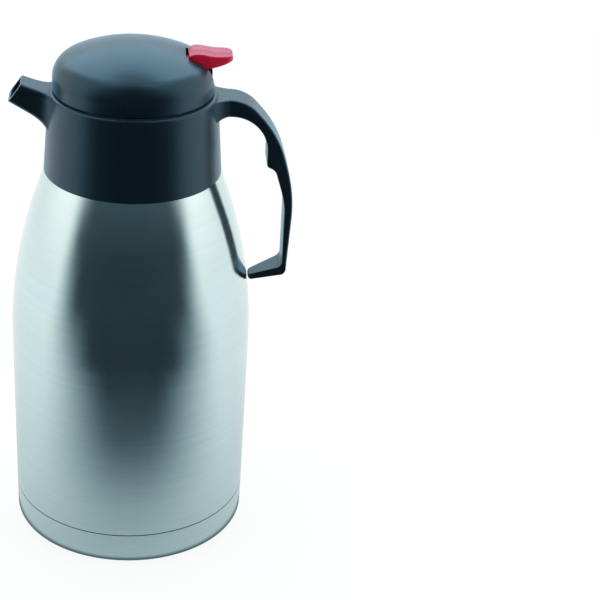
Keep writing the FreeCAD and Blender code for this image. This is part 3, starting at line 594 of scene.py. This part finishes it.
def skin(shape: bmesh.types.BMesh, rings: list[list[bmesh.types.BMVert]], closed: bool = False) -> None:
    """Join rings of points into a tube, with caps at its ends unless it closes on itself.

    Args:
        shape: The mesh that holds the points.
        rings: The rings in order, each with as many points.
        closed: Whether the last ring joins the first.
    """
    count = len(rings[0])
    following = rings[1:] + rings[:1] if closed else rings[1:]
    for before, after in zip(rings, following):
        for side in range(count):
            beside = (side + 1) % count
            shape.faces.new((before[side], before[beside], after[beside], after[side]))
    if not closed:
        shape.faces.new(rings[0])
        shape.faces.new(reversed(rings[-1]))


@dataclass
class ThreadRidge:
    """One start of a moulded screw thread, with run-outs at both ends."""

    root_radius: float
    height: float
    root_width: float
    crest_width: float
    start_z: float
    start_angle: float
    sweep: float
    steps: int = 64
    sink: float = 0.25 * MM
    run_out: float = 0.12
    end_width: float = 0.4

    def add_to(self, shape: bmesh.types.BMesh) -> None:
        """Add the ridge to a mesh as a closed sweep.

        Args:
            shape: The mesh to add to.
        """
        root = self.root_radius - math.copysign(self.sink, self.height)
        half_root = self.root_width / 2
        rings = []
        for i in range(self.steps + 1):
            share = i / self.steps
            angle = math.radians(self.start_angle + self.sweep * share)
            z = self.start_z + THREAD_PITCH * self.sweep * share / 360.0
            fade = min(1.0, min(share, 1.0 - share) / self.run_out)
            fade = fade * fade * (3.0 - 2.0 * fade)
            crest = self.root_radius + self.height * fade
            half_crest = self.crest_width / 2 * (self.end_width + (1.0 - self.end_width) * fade)
            section = ((root, -half_root), (root, half_root), (crest, half_crest), (crest, -half_crest))
            rings.append([shape.verts.new(around(radius, angle, z + rise)) for radius, rise in section])
        skin(shape, rings)


@dataclass
class SteelBody:
    """The double-wall steel body and its base.

    The bead's outline is given outwards and upwards from the base cup's upper rim.
    """

    wardrobe: Wardrobe
    bead_outline: tuple[tuple[float, float], ...] = (
        (-0.95 * MM, 0.02 * MM), (-0.25 * MM, 0.02 * MM), (-0.2 * MM, 0.2 * MM),
        (-0.25 * MM, 0.42 * MM), (-0.95 * MM, 0.08 * MM))
    bead_steps: int = 192

    def build(self) -> None:
        """Make a thin dark bead in the joint between the body and its base."""
        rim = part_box("base_cup")[1]
        shape = bmesh.new()
        rings = []
        for i in range(self.bead_steps):
            angle = math.tau * i / self.bead_steps
            rings.append([shape.verts.new(around(rim.x + outwards, angle, rim.z + upwards))
                          for outwards, upwards in self.bead_outline])
        skin(shape, rings, closed=True)
        self.wardrobe.fit(mesh_object("base_joint_bead", shape), Body.JUG, Slot.RUBBER)

    def dress(self) -> None:
        """Put the finishes on the steel pieces."""
        for name in ("outer_shell", "base_cup"):
            self.wardrobe.dress(name, Slot.BRUSHED_STEEL)
        for name in ("inner_flask", "flask_cup", "jacket_base"):
            self.wardrobe.dress(name, Slot.PLAIN_STEEL)
        self.wardrobe.dress("exhaust_seal", Slot.BRAZE)
        self.wardrobe.dress("getter_cup", Slot.GETTER)


@dataclass
class CollarAndHandle:
    """The black collar with its well and spout, and the handle."""

    wardrobe: Wardrobe
    well_radius: float = 40.8 * MM
    lug_height: float = 1.4 * MM
    lug_root: float = 2.6 * MM
    lug_crest: float = 1.2 * MM
    lug_z: float = 255.0 * MM
    lug_sweep: float = 42.0
    lug_angles: tuple[float, ...] = (-18.0, 102.0, 222.0)
    lug_steps: int = 24

    def build(self) -> None:
        """Make the short thread lugs in the well."""
        shape = bmesh.new()
        for angle in self.lug_angles:
            ridge = ThreadRidge(self.well_radius, -self.lug_height, self.lug_root, self.lug_crest,
                                self.lug_z, angle, self.lug_sweep, self.lug_steps)
            ridge.add_to(shape)
        self.wardrobe.fit(mesh_object("well_thread_lugs", shape), Body.JUG, Slot.BLACK)

    def dress(self) -> None:
        """Put the finishes on the collar, the handle and the neck's seal."""
        for name in ("collar", "handle"):
            self.wardrobe.dress(name, Slot.BLACK)
        self.wardrobe.dress("neck_gasket", Slot.WHITE_SILICONE)


@dataclass
class Lid:
    """The stopper, its cover, the thumb lever and the pouring valve."""

    wardrobe: Wardrobe
    valve_travel: float
    stopper_radius: float = 37.8 * MM
    thread_height: float = 1.25 * MM
    thread_root: float = 2.8 * MM
    thread_crest: float = 1.2 * MM
    thread_z: float = 255.4 * MM
    thread_angle: float = 24.0
    thread_sweep: float = 86.0
    thread_starts: int = 3
    spring_radius: float = 4.6 * MM
    wire_radius: float = 0.45 * MM
    spring_turns: float = 5.5
    closed_turns: float = 0.75
    closed_pitch: float = 0.95 * MM
    steps_per_turn: int = 32
    wire_sides: int = 12

    def build(self) -> None:
        """Make the thread ridges around the stopper's wall and the coil spring on the rod."""
        self._thread()
        self._return_spring()

    def _thread(self) -> None:
        """Make the thread ridges around the stopper's wall."""
        shape = bmesh.new()
        for start in range(self.thread_starts):
            angle = self.thread_angle + 360.0 / self.thread_starts * start
            ridge = ThreadRidge(self.stopper_radius, self.thread_height, self.thread_root, self.thread_crest,
                                self.thread_z, angle, self.thread_sweep)
            ridge.add_to(shape)
        self.wardrobe.fit(mesh_object("stopper_thread", shape), Body.LID, Slot.STOPPER)

    def _coil_rise(self, turn: float, rise: float) -> float:
        """Height of the wire's middle after some turns, with both end turns closed.

        Args:
            turn: Turns from the coil's lower end.
            rise: Height between the wire's two ends.

        Returns:
            The height above the lower end.
        """
        open_turns = self.spring_turns - 2.0 * self.closed_turns
        open_pitch = (rise - 2.0 * self.closed_turns * self.closed_pitch) / open_turns
        below = min(turn, self.closed_turns)
        above = max(0.0, turn - self.spring_turns + self.closed_turns)
        return (below + above) * self.closed_pitch + (turn - below - above) * open_pitch

    def _return_spring(self) -> None:
        """Make the coil spring on the valve's rod, in place of the part's own spring."""
        low, high = (corner[2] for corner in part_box("return_spring"))
        rise = high - low - 2.0 * self.wire_radius
        shape = bmesh.new()
        rings = []
        steps = round(self.spring_turns * self.steps_per_turn)
        for i in range(steps + 1):
            turn = i / self.steps_per_turn
            angle = math.tau * turn
            z = low + self.wire_radius + self._coil_rise(turn, rise)
            ring = []
            for side in range(self.wire_sides):
                way = math.tau * side / self.wire_sides
                radius = self.spring_radius + self.wire_radius * math.cos(way)
                height = z + self.wire_radius * math.sin(way)
                ring.append(shape.verts.new(around(radius, angle, height)))
            rings.append(ring)
        skin(shape, rings)
        spring = mesh_object("return_spring_coil", shape)
        self.wardrobe.fit(spring, Body.LID, Slot.SPRING)
        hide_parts("return_spring")
        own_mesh(spring)

    def dress(self) -> None:
        """Put the finishes on the lid's pieces."""
        finishes = {
            "stopper": Slot.STOPPER,
            "stopper_gasket": Slot.PALE_SILICONE,
            "lid_dome": Slot.BLACK,
            "lever": Slot.RED,
            "lever_pin": Slot.PIN,
            "valve_stem": Slot.PIN,
            "stem_cap": Slot.VALVE,
            "stem_o_ring": Slot.RUBBER,
            "valve_plate": Slot.VALVE,
            "valve_gasket": Slot.WHITE_SILICONE,
        }
        for name, slot in finishes.items():
            self.wardrobe.dress(name, slot)


@dataclass(frozen=True)
class SoftBox:
    """A rectangular studio lamp, which gloss shows only where it is mirrored."""

    name: str
    place: Point
    aim: Point
    width: float
    height: float
    power: float
    colour: Colour = (1.0, 1.0, 1.0)
    mirrored: bool = True

    def light(self) -> None:
        """Hang the lamp."""
        lamp = bpy.data.lights.new(self.name, "AREA")
        lamp.shape = "RECTANGLE"
        lamp.size = self.width
        lamp.size_y = self.height
        lamp.energy = self.power
        lamp.color = self.colour
        holder = bpy.data.objects.new(self.name, lamp)
        holder.location = self.place
        holder.visible_glossy = self.mirrored
        way = Vector(self.aim) - Vector(self.place)
        holder.rotation_euler = way.to_track_quat("-Z", "Y").to_euler()
        bpy.context.scene.collection.objects.link(holder)


@dataclass(frozen=True)
class CardRow:
    """One line across a card of painted reflection, at one distance from the jug's axis.

    The card has its middle tone up to the inner angle, and ends in its edge tone at the outer angle.
    The turn moves the line's middle sideways. All angles are in degrees.
    """

    radius: float
    z: float
    middle: float
    edge: float
    inner: float = 0.0
    outer: float = 180.0
    turn: float = 0.0

    def tone(self, angle: float) -> float:
        """The card's tone at an angle from its middle, in degrees."""
        share = min(1.0, max(0.0, (abs(angle) - self.inner) / (self.outer - self.inner)))
        return self.middle + (self.edge - self.middle) * share * share * (3.0 - 2.0 * share)

    def point(self, angle: float) -> Point:
        """The card's point at an angle from the handle's direction, in degrees."""
        return around(self.radius, math.radians(angle), self.z)


@dataclass
class Studio:
    """Pale floor, soft lamps, the cards of painted reflection that gloss shows, and the camera.

    The dark card in front of the jug is painted reflection: it paints a dark band into the steel and black
    plastic, and painted contact shadow at the foot. The grey ring around the foot is painted contact shadow
    for reflections, and the card at each side glows brighter than white as a painted highlight.
    """

    eye: Point = (0.0, -0.8889, 0.608)
    yaw: float = 6.163
    pitch: float = 27.845
    roll: float = 3.4485
    lens: float = 105.96
    world_fill: float = 0.55
    floor_size: float = 6.0
    floor_reach: float = 1.0
    floor_glow: float = 0.85
    floor_colour: Colour = (0.86, 0.87, 0.87)
    floor_roughness: float = 0.7
    # Cards of painted reflection: where their middle faces, the hue that deepens as they darken, and their
    # columns.
    card_middle: float = -93.0
    card_hue: Colour = (1.2, 1.0, 0.93)
    card_steps: int = 180
    # Painted reflection of a dark band in front of the jug, with painted contact shadow in its lowest rows
    # at the foot.
    dark_reflection_rows: tuple[CardRow, ...] = (
        CardRow(0.060, 0.002, 0.10, 0.10, 2.0, 92.0),
        CardRow(0.0667, 0.002, 0.18, 0.18, 2.0, 92.0),
        CardRow(0.069, 0.002, 0.52, 0.68, 2.0, 92.0),
        CardRow(0.115, 0.003, 0.41, 0.76, 2.0, 92.0, 2.0),
        CardRow(0.147, 0.004, 0.24, 0.81, 4.0, 93.0, 3.0),
        CardRow(0.176, 0.006, 0.10, 0.86, 7.0, 92.0, 4.0),
        CardRow(0.220, 0.012, 0.042, 0.92, 18.0, 87.0, 4.5),
        CardRow(0.270, 0.030, 0.030, 0.96, 33.0, 84.0, 4.5),
        CardRow(0.350, 0.100, 0.036, 1.05, 46.0, 74.0, 1.0),
        CardRow(0.450, 0.220, 0.044, 1.15, 52.0, 69.0, 1.0),
        CardRow(0.620, 0.420, 0.095, 1.2, 44.0, 72.0, 2.5),
        CardRow(0.700, 0.750, 0.035, 1.0, 25.0, 72.0),
        CardRow(0.550, 1.150, 0.025, 1.0, 20.0, 70.0),
        CardRow(0.050, 1.450, 0.020, 1.0, 20.0, 70.0),
        CardRow(-0.550, 1.350, 0.020, 1.0, 20.0, 70.0),
    )
    # Painted contact shadow that only reflections show, as tones by distance from the axis.
    painted_shadow_z: float = 1.0 * MM
    painted_shadow_tones: tuple[tuple[float, float], ...] = (
        (0.060, 0.10), (0.0667, 0.18), (0.069, 0.68), (0.115, 0.76), (0.147, 0.81), (0.220, 0.92),
        (0.450, 1.0))
    # Painted highlights at each side, glowing brighter than white in reflections.
    highlight_turn: float = 86.0
    highlight_reach: float = 48.0
    highlight_tones: tuple[tuple[float, float, float], ...] = (
        (0.760, 0.050, 1.0), (0.780, 0.300, 1.25), (0.800, 0.600, 1.35), (0.820, 0.900, 1.25),
        (0.840, 1.300, 1.0))
    boxes: tuple[SoftBox, ...] = (
        SoftBox("left_softbox", (-1.5, -0.5, 0.9), (0.0, 0.0, 0.15), 1.5, 1.8, 14.0,
                colour=(0.8, 0.9, 1.0), mirrored=False),
        SoftBox("right_softbox", (1.5, -0.35, 0.8), (0.0, 0.0, 0.15), 1.4, 1.7, 13.0,
                colour=(0.85, 0.92, 1.0), mirrored=False),
        SoftBox("top_softbox", (0.0, 0.25, 1.7), (0.0, 0.0, 0.2), 1.2, 1.2, 7.0),
        SoftBox("back_softbox", (0.0, 1.12, 1.45), (0.0, 0.0, 0.27), 3.2, 1.4, 24.0,
                colour=(0.62, 0.87, 1.0)),
    )

    def build(self) -> None:
        """Set up the whole studio."""
        self._world()
        self._floor()
        # Painted reflections, which only gloss shows.
        self._painted_reflection_card("front_dark_reflection", self.dark_reflection_rows)
        self._painted_reflection_card("painted_shadow_ring", self._painted_shadow_rows())
        self._painted_reflection_card("left_painted_highlight", self._painted_highlight_rows(-self.highlight_turn))
        self._painted_reflection_card("right_painted_highlight", self._painted_highlight_rows(self.highlight_turn))
        for softbox in self.boxes:
            softbox.light()
        self._camera()
        bpy.context.scene.view_settings.view_transform = "Standard"

    def _painted_shadow_rows(self) -> tuple[CardRow, ...]:
        """Rows of the grey ring of painted contact shadow around the foot, from the inside outwards."""
        return tuple(CardRow(radius, self.painted_shadow_z, tone, tone) for radius, tone in self.painted_shadow_tones)

    def _painted_highlight_rows(self, turn: float) -> tuple[CardRow, ...]:
        """Rows of a side card of painted highlight, brighter than white, which fades into the surround.

        Args:
            turn: Degrees from the front card's middle.

        Returns:
            The rows, from the floor upwards.
        """
        return tuple(CardRow(radius, z, tone, 1.0, outer=self.highlight_reach, turn=turn)
                     for radius, z, tone in self.highlight_tones)

    @staticmethod
    def _seen_directly(sheet: NodeSheet) -> bpy.types.NodeSocket:
        """A mask that is 1 for the camera's own view and for what gloss and glass show.

        Args:
            sheet: The tree to add it to.

        Returns:
            The mask.
        """
        path = sheet.add("LightPath")
        either = sheet.maths("MAXIMUM", path.outputs["Is Camera Ray"], path.outputs["Is Glossy Ray"])
        return sheet.maths("MAXIMUM", either, path.outputs["Is Transmission Ray"])

    def _world(self) -> None:
        """Pale surround: white where it is seen, plain light elsewhere."""
        world = bpy.data.worlds.new("studio")
        bpy.context.scene.world = world
        world.use_nodes = True
        sheet = NodeSheet(world.node_tree)
        back = world.node_tree.nodes["Background"]
        back.inputs["Color"].default_value = (1.0, 1.0, 1.0, 1.0)
        sheet.feed(back.inputs["Strength"], sheet.spread(self._seen_directly(sheet), self.world_fill, 1.0))

    def _floor(self) -> None:
        """Pale floor that keeps a faint shadow of the jug and turns white further off."""
        shape = bmesh.new()
        bmesh.ops.create_grid(shape, x_segments=1, y_segments=1, size=self.floor_size / 2)
        floor = mesh_object("floor", shape)
        material, sheet, shader = new_material("pale_floor")
        shader.inputs["Base Color"].default_value = scaled(self.floor_colour)
        shader.inputs["Roughness"].default_value = self.floor_roughness
        glow = sheet.add("Emission")
        distance = sheet.add("VectorMath", operation="LENGTH")
        sheet.feed(distance.inputs[0], sheet.add("TexCoord").outputs["Object"])
        far = sheet.maths("DIVIDE", distance.outputs["Value"], self.floor_reach)
        share = sheet.spread(far, self.floor_glow, 1.0)
        mix = sheet.add("MixShader")
        sheet.feed(mix.inputs[0], sheet.maths("MULTIPLY", self._seen_directly(sheet), share))
        sheet.feed(mix.inputs[1], shader.outputs[0])
        sheet.feed(mix.inputs[2], glow.outputs[0])
        sheet.feed(material.node_tree.nodes["Material Output"].inputs["Surface"], mix.outputs[0])
        floor.data.materials.append(material)

    def _painted_reflection_card(self, name: str, lines: tuple[CardRow, ...]) -> None:
        """A card of painted reflection around the jug that only gloss shows: its tones are painted shade
        where dark and painted highlight where brighter than white.

        Args:
            name: The card's name.
            lines: Its rows, in the order in which they join.
        """
        shape = bmesh.new()
        layer = shape.verts.layers.float_color.new("tone")
        columns = []
        for i in range(self.card_steps + 1):
            share = 2.0 * i / self.card_steps - 1.0
            column = []
            for line in lines:
                angle = line.outer * share
                corner = shape.verts.new(line.point(self.card_middle + line.turn + angle))
                # Painted shade where the tone is low, painted highlight where it is above 1.
                corner[layer] = (*(line.tone(angle) ** power for power in self.card_hue), 1.0)
                column.append(corner)
            columns.append(column)
        for before, after in zip(columns, columns[1:]):
            for row in range(len(lines) - 1):
                shape.faces.new((before[row], after[row], after[row + 1], before[row + 1]))
        card = mesh_object(name, shape)
        material, sheet, _ = new_material(name + "_paint")
        glow = sheet.add("Emission")
        sheet.feed(glow.inputs["Color"], sheet.add("VertexColor", layer_name="tone").outputs["Color"])
        sheet.feed(material.node_tree.nodes["Material Output"].inputs["Surface"], glow.outputs[0])
        card.data.materials.append(material)
        # Only reflections show the card: it gives no light and casts no shadow.
        card.visible_camera = False
        card.visible_diffuse = False
        card.visible_shadow = False

    def _camera(self) -> None:
        """Camera at the photograph's place and angle."""
        yaw, pitch, roll = (math.radians(v) for v in (self.yaw, self.pitch, self.roll))
        ahead = Vector((math.sin(yaw) * math.cos(pitch), math.cos(yaw) * math.cos(pitch), -math.sin(pitch)))
        right = Vector((math.cos(yaw), -math.sin(yaw), 0.0))
        up = right.cross(ahead)
        side = right * math.cos(roll) + up * math.sin(roll)
        top = up * math.cos(roll) - right * math.sin(roll)
        data = bpy.data.cameras.new("camera")
        data.sensor_fit = "HORIZONTAL"
        data.sensor_width = 36.0
        data.lens = self.lens
        data.clip_start = 0.01
        camera = bpy.data.objects.new("camera", data)
        turn = Matrix((side, top, -ahead)).transposed()
        camera.matrix_world = Matrix.Translation(self.eye) @ turn.to_4x4()
        bpy.context.scene.collection.objects.link(camera)
        bpy.context.scene.camera = camera


def main() -> None:
    """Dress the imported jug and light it."""
    logging.basicConfig(level=logging.INFO, format="%(name)s: %(message)s")
    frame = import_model()
    wardrobe = Wardrobe(frame["nodes"])
    body = SteelBody(wardrobe)
    body.build()
    body.dress()
    collar = CollarAndHandle(wardrobe)
    collar.build()
    collar.dress()
    travel = next(joint["range_m"][1] for joint in frame["joints"] if joint["name"] == "valve_travel")
    lid = Lid(wardrobe, travel)
    lid.build()
    lid.dress()
    Studio().build()


if __name__ == "__main__":
    main()
